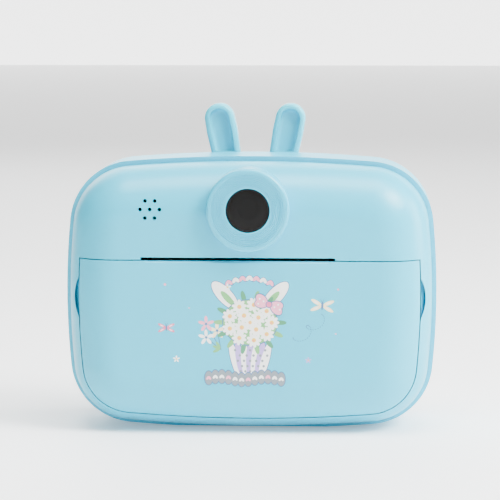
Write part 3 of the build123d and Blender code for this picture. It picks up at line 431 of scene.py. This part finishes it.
def finishes() -> dict[str, bpy.types.Material]:
    """Make one material for each slot of the record.

    Returns:
        Material by slot name.
    """
    blue = {"tone": 0.03, "tone_scale": 22.0, "subsurface": 0.03}
    low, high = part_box("lens_window")
    lens_z = (low[2] + high[2]) / 2
    listed = {
        "shell_blue": Finish("satin_blue_shell", "1FBAD8", 0.36, grain=2400.0, depth=0.06, **blue),
        "door_blue": Finish("satin_blue_door", "20BBD9", 0.36, grain=2400.0, depth=0.06, **blue),
        "ear_blue": Finish("satin_blue_ears", "1CC2D8", 0.33, grain=2400.0, depth=0.05, **blue),
        "ring_blue": GroovedFinish("grooved_blue_ring", "1FB6D6", 0.25, depth=0.03, centre_z=lens_z, **blue),
        "key_white": Finish("glossy_white_keys", "F1F4F5", 0.22, tone=0.015, depth=0.02, coat=0.3),
        "shutter_pink": Finish("glossy_pink_key", "F296AE", 0.22, tone=0.03, depth=0.02, coat=0.4),
        "clear_cover": Finish("smoked_cover", "05060C", 0.06, tone=0.1, depth=0.0, specular=0.45),
        "lens_glass": ClearFinish("coated_lens_glass", "9AA4D8", 0.02, tone=0.05, depth=0.0, coat=0.5),
        "lens_cover": ClearFinish(
            "smoked_lens_cover", "202229", 0.02, tone=0.02, depth=0.0, specular=0.15, index=1.3
        ),
        "light_clear": ClearFinish("light_pipe", "CFF5D6", 0.12, tone=0.02, depth=0.02),
        "barrel_black": Finish("matt_black_barrel", "08080A", 0.55, tone=0.2, depth=0.1),
        "display_dark": Finish("display_module", "0B0D14", 0.18, tone=0.1, depth=0.01),
        "foam_black": Finish("foam_gasket", "101011", 0.95, tone=0.25, grain=900.0, depth=0.5),
        "speaker_black": Finish("speaker_cone", "0D0D0E", 0.7, tone=0.2, depth=0.2),
        "chip_black": Finish("chip_package", "151517", 0.5, tone=0.1, depth=0.15),
        "card_black": Finish("memory_card_plastic", "131416", 0.42, tone=0.08, depth=0.1),
        "board_green": BoardFinish("solder_mask", "0E4A2A", 0.3, depth=0.03, coat=0.2),
        "steel": Finish("bright_steel", "C9CBCF", 0.28, 1.0, 0.03, depth=0.03),
        "zinc_sheet": Finish("zinc_sheet", "A9B0B4", 0.38, 1.0, 0.10, 60.0, depth=0.04),
        "aluminium": Finish("brushed_aluminium", "C3C6CA", 0.36, 1.0, 0.03, depth=0.06),
        "cell_silver": Finish("pouch_foil", "B4B9BE", 0.34, 0.9, 0.06, depth=0.05),
        "bush_bronze": Finish("sintered_bronze", "A8743C", 0.45, 1.0, 0.10, 200.0, depth=0.08),
        "head_ceramic": Finish("glazed_ceramic", "E0DACB", 0.2, tone=0.03, depth=0.01),
        "rubber_grey": Finish("ground_rubber", "2B2B2D", 0.75, tone=0.12, grain=3000.0, depth=0.25),
        "gear_white": Finish("acetal_gears", "E6E6E0", 0.38, tone=0.03, depth=0.03, subsurface=0.1),
        "paper_white": LayeredFinish("thermal_paper", "F4F3EE", 0.7, depth=0.04),
        "core_card": LayeredFinish("wound_card_core", "A88660", 0.85, depth=0.2, ring_colour="7A5E3E"),
    }
    return {slot: finish.build() for slot, finish in listed.items()}


# ---------------------------------------------------------------- modelling helpers


class Bench:
    """Small modelling steps with the standard tools, in millimetres of the camera's own frame."""

    @staticmethod
    def clear() -> None:
        """Deselect everything."""
        bpy.ops.object.select_all(action="DESELECT")

    @staticmethod
    def settle(name: str, material: bpy.types.Material) -> bpy.types.Object:
        """Name the active object, apply its placing and give it a material.

        Args:
            name: the new object's name.
            material: its only material.

        Returns:
            The object, unrotated and unscaled at the origin.
        """
        made = bpy.context.active_object
        made.name = name
        bpy.ops.object.transform_apply(location=True, rotation=True, scale=True)
        made.data.materials.clear()
        made.data.materials.append(material)
        return made

    @classmethod
    def dab(cls, x: float, z: float, wide: float, tall: float, turn: float, y: float, sides: int = 24):
        """A thin elliptical patch lying on a plane that faces along Y.

        Args:
            x: middle, in millimetres.
            z: middle, in millimetres.
            wide: full width before turning, in millimetres.
            tall: full height before turning, in millimetres.
            turn: anticlockwise turn as seen from the front, in degrees.
            y: the plane the patch is centred on, in millimetres.
            sides: corners round the patch.

        Returns:
            The patch.
        """
        cls.clear()
        bpy.ops.mesh.primitive_cylinder_add(
            vertices=sides, radius=0.5 * MM, depth=INK_THICK * MM, location=(x * MM, y * MM, z * MM)
        )
        made = bpy.context.active_object
        made.matrix_world = (
            Matrix.Translation((x * MM, y * MM, z * MM))
            @ Matrix.Rotation(math.radians(-turn), 4, "Y")
            @ Matrix.Rotation(math.radians(90), 4, "X")
            @ Matrix.Diagonal((wide, tall, 1.0, 1.0))
        )
        return made

    @classmethod
    def join(cls, pieces: list[bpy.types.Object], name: str, material: bpy.types.Material):
        """Join several pieces in one object.

        Returns:
            The joined object, unrotated and unscaled at the origin.
        """
        cls.clear()
        for piece in pieces:
            piece.select_set(True)
        bpy.context.view_layer.objects.active = pieces[0]
        if len(pieces) > 1:
            bpy.ops.object.join()
        made = cls.settle(name, material)
        cls.clear()
        return made


# ---------------------------------------------------------------- printed artwork

INK_THICK = 0.02
INK_LIFT = 0.014        # between one layer of ink and the next
INK_STEP = 0.0008       # between two spots of one layer, so that none lies in another's plane
INK_CYCLE = 17          # spots before the steps start again
LOBE_LEAN = 36          # how far each lobe of a heart leans, in degrees


class Ink(Enum):
    """Printing colours of the door's artwork and the key marks."""

    WHITE = "F8F8F4"
    YELLOW = "F6C945"
    GREEN = "6DB36B"
    DEEP_GREEN = "3F8F63"
    PINK = "F19CB8"
    ROSE = "DE6C95"
    LILAC = "B39BDD"
    SKY = "4FA9D6"
    NAVY = "3A6C9C"
    CREAM = "FBE9BF"
    CORAL = "F58C7A"
    GREY = "7C868C"


class Print:
    """A picture printed in flat inks on a face that looks along Y."""

    def __init__(self, title: str, face_y: float, side: int, body: str) -> None:
        """Start an empty picture.

        Args:
            title: first part of the names of its layers.
            face_y: the face that takes the ink, in millimetres.
            side: -1 where the face looks along -Y, 1 where it looks along +Y.
            body: the moving body that the ink rides on.
        """
        self.title = title
        self.face_y = face_y
        self.side = side
        self.body = body
        self.count = 0
        self.layers: dict[tuple[Ink, int], list[bpy.types.Object]] = {}

    def spot(
        self, ink: Ink, x: float, z: float, wide: float, tall: float, turn: float = 0, level: int = 0
    ) -> None:
        """Print one elliptical spot, its level counted outwards from the face."""
        layer = self.layers.setdefault((ink, level), [])
        self.count += 1
        y = self.face_y + self.side * (INK_THICK / 2 + level * INK_LIFT + self.count % INK_CYCLE * INK_STEP)
        sides = 32 if max(wide, tall) > 2.5 else 20
        layer.append(Bench.dab(x, z, wide, tall, turn, y, sides))

    def stroke(self, ink: Ink, start: tuple, end: tuple, wide: float, level: int = 0) -> None:
        """Print one tapering stroke between two points."""
        across, up = end[0] - start[0], end[1] - start[1]
        length = math.hypot(across, up)
        turn = math.degrees(math.atan2(up, across))
        self.spot(ink, (start[0] + end[0]) / 2, (start[1] + end[1]) / 2, length + wide, wide, turn, level)

    def heart(self, ink: Ink, x: float, z: float, size: float, turn: float = 0, level: int = 0) -> None:
        """Print a heart as two crossed lobes."""
        lean = math.radians(turn)
        for side in (-1, 1):
            across = side * size * 0.2
            spot_x = x + across * math.cos(lean)
            spot_z = z + across * math.sin(lean)
            self.spot(ink, spot_x, spot_z, size * 0.5, size * 0.92, turn + side * LOBE_LEAN, level)

    def daisy(
        self, x: float, z: float, size: float, petals: int = 9, turn: float = 0, level: int = 2
    ) -> None:
        """Print a daisy: petals round a yellow eye."""
        for index in range(petals):
            angle = math.radians(turn + index * 360 / petals)
            reach = size * 0.31
            self.spot(
                Ink.WHITE, x + reach * math.cos(angle), z + reach * math.sin(angle),
                size * 0.42, size * 0.24, math.degrees(angle), level + index % 2,
            )
        self.spot(Ink.YELLOW, x, z, size * 0.30, size * 0.30, 0, level + 2)
        self.spot(Ink.CORAL, x - size * 0.02, z - size * 0.03, size * 0.12, size * 0.12, 0, level + 3)

    def leaf(self, ink: Ink, x: float, z: float, size: float, turn: float, level: int = 1) -> None:
        """Print a leaf that grows from a point."""
        angle = math.radians(turn)
        half = size / 2
        self.spot(ink, x + half * math.cos(angle), z + half * math.sin(angle), size, size * 0.36, turn, level)

    def finish(self) -> list[bpy.types.Object]:
        """Join every layer and let it ride with its body.

        Returns:
            One object per ink and level.
        """
        made = []
        for (ink, level), spots in self.layers.items():
            layer = Bench.join(spots, f"{self.title}_{ink.name.lower()}_{level}", ink_material(ink))
            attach(layer, self.body)
            made.append(layer)
        return made


INK_MATERIALS: dict[Ink, bpy.types.Material] = {}


def ink_material(ink: Ink) -> bpy.types.Material:
    """Find or make the printing ink of one colour."""
    if ink not in INK_MATERIALS:
        finish = Finish(f"ink_{ink.name.lower()}", ink.value, 0.42, tone=0.05, tone_scale=260.0, depth=0.03)
        INK_MATERIALS[ink] = finish.build()
    return INK_MATERIALS[ink]


class DoorArt:
    """The paper door's printed picture: a wrapped bunch of daisies with a bow, and small things around it."""

    MIDDLE = (0.6, 36.5)
    BUNCH = (8.6, 7.2)      # half width and half height of the bunch of flowers

    def __init__(self, face_y: float) -> None:
        """Start the picture on the door's flat face."""
        self.print = Print("door_art", face_y, -1, "door")

    def outline(
        self, x: float, z: float, wide: float, tall: float, turn: float, ink: Ink, level: int
    ) -> None:
        """Print a spot with a thin dark line round it."""
        self.print.spot(Ink.NAVY, x, z, wide + 0.5, tall + 0.5, turn, level)
        self.print.spot(ink, x, z, wide, tall, turn, level + 1)

    def bunch(self) -> None:
        """Print the big leaves, the rounded head of the bunch and its flowers."""
        x, z = self.MIDDLE
        for side in (-1, 1):
            tip_x, tip_z = x + side * 10.2, z + 10.6
            self.outline(tip_x - side * 2.2, tip_z - 2.0, 11.5, 4.6, side * 47, Ink.WHITE, 0)
            self.print.spot(Ink.GREEN, tip_x - side * 3.0, tip_z - 2.9, 6.0, 1.9, side * 47, 2)
        for index in range(14):
            angle = 2 * math.pi * index / 14
            leaf_x = x + self.BUNCH[0] * 0.86 * math.cos(angle)
            leaf_z = z + self.BUNCH[1] * 0.86 * math.sin(angle)
            ink = Ink.GREEN if index % 2 else Ink.DEEP_GREEN
            self.print.leaf(ink, leaf_x, leaf_z, 4.2, math.degrees(angle), 2)
        self.print.spot(Ink.NAVY, x, z, 2 * self.BUNCH[0] + 0.6, 2 * self.BUNCH[1] + 0.6, 0, 3)
        self.print.spot(Ink.GREEN, x, z, 2 * self.BUNCH[0], 2 * self.BUNCH[1], 0, 4)
        for ring, (share, count, size) in enumerate(((0.80, 9, 4.6), (0.38, 4, 4.7), (0.0, 1, 3.8))):
            for index in range(count):
                angle = 2 * math.pi * (index + ring * 0.4) / count
                flower_x = x + share * self.BUNCH[0] * math.cos(angle)
                flower_z = z + share * self.BUNCH[1] * math.sin(angle)
                self.print.daisy(flower_x, flower_z, size, 9, 17 * index, 5 + (index % 2) * 4 + ring * 2)

    def wrap(self) -> None:
        """Print the checked paper round the stems."""
        x, low, high = self.MIDDLE[0], 19.5, 29.0
        for index in range(7):
            lean = (index - 3) / 3
            foot, top = (x + lean * 3.4, low), (x + lean * 6.0, high)
            self.print.stroke(Ink.NAVY, foot, top, 3.1, 0)
            self.print.stroke(Ink.LILAC if index % 2 else Ink.WHITE, foot, top, 2.6, 1)
        for row in range(5):
            for column in range(-2, 3):
                share = row / 4
                spot_x = x + (column + 0.5 * (row % 2)) * (1.5 + share * 0.9)
                self.print.spot(Ink.GREY, spot_x, low + 1.3 + row * 1.7, 0.8, 0.8, 0, 2)

    def bow(self) -> None:
        """Print the spotted bow at the bunch's upper right."""
        x, z, turn = 6.6, 42.3, -22
        lean = math.radians(turn)
        for side in (-1, 1):
            loop_x, loop_z = x + side * 2.5 * math.cos(lean), z + side * 2.5 * math.sin(lean)
            for spread in (-1, 1):
                angle = turn + spread * 24 * side
                self.outline(loop_x, loop_z + spread * 0.55, 4.3, 2.8, angle, Ink.PINK, 14)
            for dot_x, dot_z in ((0.6, 0.9), (1.1, -0.7), (-0.6, 0.1)):
                self.print.spot(Ink.WHITE, loop_x + side * dot_x, loop_z + dot_z, 0.6, 0.6, 0, 17)
        self.outline(x, z, 1.7, 1.7, 0, Ink.ROSE, 17)

    def posy(self) -> None:
        """Print the three loose flowers and their stems at the left."""
        knot = (-8.6, 27.6)
        heads = ((-13.4, 35.9, Ink.PINK, 5.0), (-9.9, 33.8, Ink.CREAM, 5.2), (-13.4, 31.6, Ink.WHITE, 4.8))
        for x, z, ink, size in heads:
            self.print.stroke(Ink.NAVY, (x, z), knot, 0.28, 0)
            for index in range(5):
                angle = math.radians(20 + index * 72)
                petal_x, petal_z = x + size * 0.3 * math.cos(angle), z + size * 0.3 * math.sin(angle)
                self.print.spot(ink, petal_x, petal_z, size * 0.46, size * 0.22, math.degrees(angle), 1)
            self.print.spot(Ink.NAVY, x, z, 0.8, 0.8, 0, 2)
        for turn in (160, 205, 120):
            self.print.leaf(Ink.GREEN, knot[0] - 0.3, knot[1] + 0.4, 2.6, turn, 1)

    def insect(self, x: float, z: float, span: float, wing: Ink, turn: float) -> None:
        """Print a four-winged insect."""
        for side in (-1, 1):
            for up in (-1, 1):
                angle = turn + (90 - side * 90) + side * up * 26
                reach = span * 0.27
                wing_x = x + reach * math.cos(math.radians(angle))
                wing_z = z + reach * math.sin(math.radians(angle))
                self.print.spot(wing, wing_x, wing_z, span * 0.46, span * 0.15, angle, 1)
                self.print.spot(Ink.WHITE, wing_x, wing_z, span * 0.22, span * 0.05, angle, 2)
        self.print.spot(Ink.NAVY, x, z, span * 0.09, span * 0.34, turn, 3)
        for side in (-1, 1):
            feeler = (x + side * span * 0.07, z + span * 0.27)
            self.print.stroke(Ink.NAVY, (x, z + span * 0.12), feeler, 0.14, 3)

    def flight(self) -> None:
        """Print the dashed curl behind the right-hand insect."""
        steps = 34
        for index in range(steps):
            share = index / (steps - 1)
            turn = 2 * math.pi * 1.45 * share
            x = 23.4 - 7.6 * share + 1.7 * math.sin(turn * 1.25)
            z = 39.2 - 6.6 * share + 1.5 * math.cos(turn * 1.25) - 1.5
            self.print.spot(Ink.NAVY, x, z, 0.55, 0.22, math.degrees(turn) * -1.25, 0)

    def headline(self) -> None:
        """Print the arc of small hearts above the bunch."""
        for index in range(7):
            share = (index - 3) / 3
            x, z = 0.4 + share * 6.6, 50.6 - 1.5 * share * share
            self.print.heart(Ink.NAVY, x, z, 2.7, -share * 14, 0)
            self.print.heart(Ink.WHITE if index % 2 else Ink.PINK, x, z + 0.05, 2.15, -share * 14, 1)

    def ribbon(self) -> None:
        """Print the scalloped grey ribbon across the foot of the wrap."""
        left, count, pitch = -13.0, 12, 2.1
        for layer, (ink, grow) in enumerate(((Ink.NAVY, 0.5), (Ink.GREY, 0.0))):
            for index in range(count):
                x = left + index * pitch + 0.4
                wave = 0.5 * math.sin(index * 0.9)
                self.print.spot(ink, x, 18.6 + wave, 2.5 + grow, 4.4 + grow, 0, 3 + layer)
        for index in range(count):
            x = left + index * pitch + 0.4
            z = 18.6 + 0.5 * math.sin(index * 0.9)
            self.print.heart(Ink.WHITE if index % 3 else Ink.PINK, x, z, 1.5, 0, 5)

    def scatter(self) -> None:
        """Print the small blossoms and dots in the free space."""
        blossoms = ((-22.9, 24.6, 2.6, Ink.WHITE), (19.1, 24.5, 2.4, Ink.LILAC), (-6.6, 47.7, 2.8, Ink.WHITE))
        for x, z, size, ink in blossoms:
            for index in range(5):
                angle = math.radians(90 + 72 * index)
                reach = size * 0.26
                petal_x, petal_z = x + reach * math.cos(angle), z + reach * math.sin(angle)
                self.print.spot(ink, petal_x, petal_z, size * 0.36, size * 0.2, math.degrees(angle), 1)
            self.print.spot(Ink.YELLOW, x, z, size * 0.18, size * 0.18, 0, 2)
        for x, z, size in ((-26.5, 48.5, 0.9), (27.8, 33.0, 0.6), (-18.8, 41.0, 0.5), (28.5, 47.2, 0.7)):
            self.print.spot(Ink.PINK, x, z, size, size, 0, 0)

    def build(self) -> list[bpy.types.Object]:
        """Print the whole picture.

        Returns:
            The ink layers.
        """
        self.wrap()
        self.bunch()
        self.bow()
        self.posy()
        self.insect(-26.1, 34.6, 5.9, Ink.ROSE, 0)
        self.insect(23.5, 42.0, 8.1, Ink.CREAM, -4)
        self.flight()
        self.headline()
        self.ribbon()
        self.scatter()
        return self.print.finish()


class KeyMarks:
    """Printed signs on the rear keys, all plain shapes."""

    def __init__(self) -> None:
        """Start with no marks."""
        self.made: list[bpy.types.Object] = []

    def sheet(self, key: str) -> tuple[Print, float, float]:
        """Start a print on a key.

        Args:
            key: the key's node without its ending.

        Returns:
            The print and the key's middle, in millimetres.
        """
        low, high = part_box(f"{key}_key")
        mark = Print(f"mark_{key}", high[1] / MM, 1, f"{key}_button")
        return mark, (low[0] + high[0]) / 2 / MM, (low[2] + high[2]) / 2 / MM

    def arrow(self, key: str, turn: float) -> None:
        """Print a chevron that points along a turn from +X."""
        mark, x, z = self.sheet(key)
        angle = math.radians(turn)
        tip = (x + 1.0 * math.cos(angle), z + 1.0 * math.sin(angle))
        for side in (-1, 1):
            tail = (
                x - 0.4 * math.cos(angle) - side * 1.1 * math.sin(angle),
                z - 0.4 * math.sin(angle) + side * 1.1 * math.cos(angle),
            )
            mark.stroke(Ink.GREY, tip, tail, 0.42)
        self.made += mark.finish()

    def dots(self, key: str, ink: Ink, places: list[tuple[float, float, float, float]]) -> None:
        """Print a few spots on a key, each with an offset and a size."""
        mark, x, z = self.sheet(key)
        for level, (across, up, wide, tall) in enumerate(places):
            mark.spot(ink, x + across, z + up, wide, tall, 0, level % 2)
        self.made += mark.finish()

    def build(self) -> list[bpy.types.Object]:
        """Mark every key.

        Returns:
            The marks.
        """
        for key, turn in (("up", 90), ("down", -90), ("left", 0), ("right", 180)):
            self.arrow(key, turn)
        self.dots("ok", Ink.SKY, [(0, 0, 2.4, 2.4)])
        self.dots("power", Ink.CORAL, [(0, 0, 1.7, 1.7)])
        self.dots("mode", Ink.GREY, [(0, 0.9, 2.6, 0.5), (0, 0, 2.6, 0.5), (0, -0.9, 2.6, 0.5)])
        self.dots("play", Ink.GREY, [(-0.9, 0, 0.6, 2.4), (0, 0, 0.6, 1.8), (0.9, 0, 0.6, 1.0)])
        self.dots("print", Ink.GREY, [(0, 0.5, 2.6, 1.0), (0, -0.8, 1.8, 0.8)])
        self.dots("shutter", Ink.WHITE, [(0, 0, 3.4, 3.4)])
        return self.made


# ---------------------------------------------------------------- studio


@dataclass(frozen=True)
class Lamp:
    """One soft area light that looks at the camera's middle."""

    name: str
    azimuth: float
    elevation: float
    distance: float
    size: tuple[float, float]
    power: float
    tint: str = "FFFFFF"

    def build(self, target: Vector) -> bpy.types.Object:
        """Place the light.

        Args:
            target: the point that it faces.

        Returns:
            The light.
        """
        data = bpy.data.lights.new(self.name, "AREA")
        data.shape = "RECTANGLE"
        data.size, data.size_y = self.size
        data.energy = self.power
        data.color = srgb(self.tint)
        made = bpy.data.objects.new(self.name, data)
        bpy.context.scene.collection.objects.link(made)
        away = Studio.direction(self.azimuth, self.elevation)
        made.location = target + away * self.distance
        made.rotation_euler = (-away).to_track_quat("-Z", "Y").to_euler()
        return made


class Studio:
    """The view, the pale floor and the lights."""

    TARGET = Vector((-0.0008, 0.0, 0.0569))
    AZIMUTH, ELEVATION, DISTANCE = 3, 6, 0.8
    FOCAL_LENGTH, SENSOR = 176, 36
    GROUND, WALL_BEHIND = 8, 4      # side of floor and backdrop, and how far back it stands, in metres
    WORLD_LIGHT = 0.2
    LAMPS = (
        Lamp("key_light", 62, 44, 0.95, (0.4, 0.4), 26.0),
        Lamp("front_fill", 25, 24, 1.3, (0.9, 0.7), 2.6),
        Lamp("top_light", 20, 80, 0.8, (0.6, 0.35), 12.0),
        Lamp("right_edge", 98, 12, 0.9, (0.3, 0.7), 11.0),
        Lamp("back_fill", 200, 35, 1.2, (0.9, 0.9), 8.0),
    )

    @staticmethod
    def direction(azimuth: float, elevation: float) -> Vector:
        """Unit vector from the subject towards a place round it."""
        turn, rise = math.radians(azimuth), math.radians(elevation)
        return Vector((math.sin(turn) * math.cos(rise), -math.cos(turn) * math.cos(rise), math.sin(rise)))

    def build(self) -> None:
        """Place everything round the object."""
        view = bpy.data.cameras.new("view")
        view.lens = self.FOCAL_LENGTH
        view.sensor_width = self.SENSOR
        view.clip_start, view.clip_end = 0.01, 50
        eye = bpy.data.objects.new("view", view)
        bpy.context.scene.collection.objects.link(eye)
        away = self.direction(self.AZIMUTH, self.ELEVATION)
        eye.location = self.TARGET + away * self.DISTANCE
        eye.rotation_euler = (-away).to_track_quat("-Z", "Y").to_euler()
        bpy.context.scene.camera = eye
        for lamp in self.LAMPS:
            lamp.build(self.TARGET)
        Bench.clear()
        bpy.ops.mesh.primitive_plane_add(size=self.GROUND, location=(0, 0, 0))
        floor = Bench.settle("floor", GlowFinish("pale_floor", "F7F8F8", 0.6, tone=0.004, glow=0.3).build())
        Bench.clear()
        bpy.ops.mesh.primitive_plane_add(
            size=self.GROUND, location=(0, self.WALL_BEHIND, 0), rotation=(math.radians(90), 0, 0)
        )
        pale_wall = GlowFinish("pale_backdrop", "F7F8F8", 0.6, tone=0.004, glow=3.0).build()
        backdrop = Bench.settle("backdrop", pale_wall)
        world = bpy.data.worlds.new("studio_white")
        world.use_nodes = True
        back = world.node_tree.nodes["Background"]
        back.inputs["Color"].default_value = (1.0, 1.0, 1.0, 1.0)
        back.inputs["Strength"].default_value = self.WORLD_LIGHT
        bpy.context.scene.world = world


# ---------------------------------------------------------------- the whole scene


def dress(materials: dict[str, bpy.types.Material]) -> None:
    """Give every piece of the frame the finish of its slot.

    Args:
        materials: material by slot name.
    """
    special = {"lens_window": "lens_cover"}
    for piece in frame["record"]["subparts"]:
        mesh = frame["nodes"][piece["node"]].data
        mesh.materials.clear()
        mesh.materials.append(materials[special.get(piece["node"], piece["material_slot"])])


def main() -> None:
    """Dress the object, add the printing and build the studio."""
    logging.basicConfig(level=logging.INFO)
    materials = finishes()
    dress(materials)
    door_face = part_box("door_panel")[0][1] / MM
    art = DoorArt(door_face).build()
    marks = KeyMarks().build()
    Studio().build()
    LOG.info("slots %d, ink layers %d, key marks %d", len(materials), len(art), len(marks))


if __name__ == "__main__":
    main()
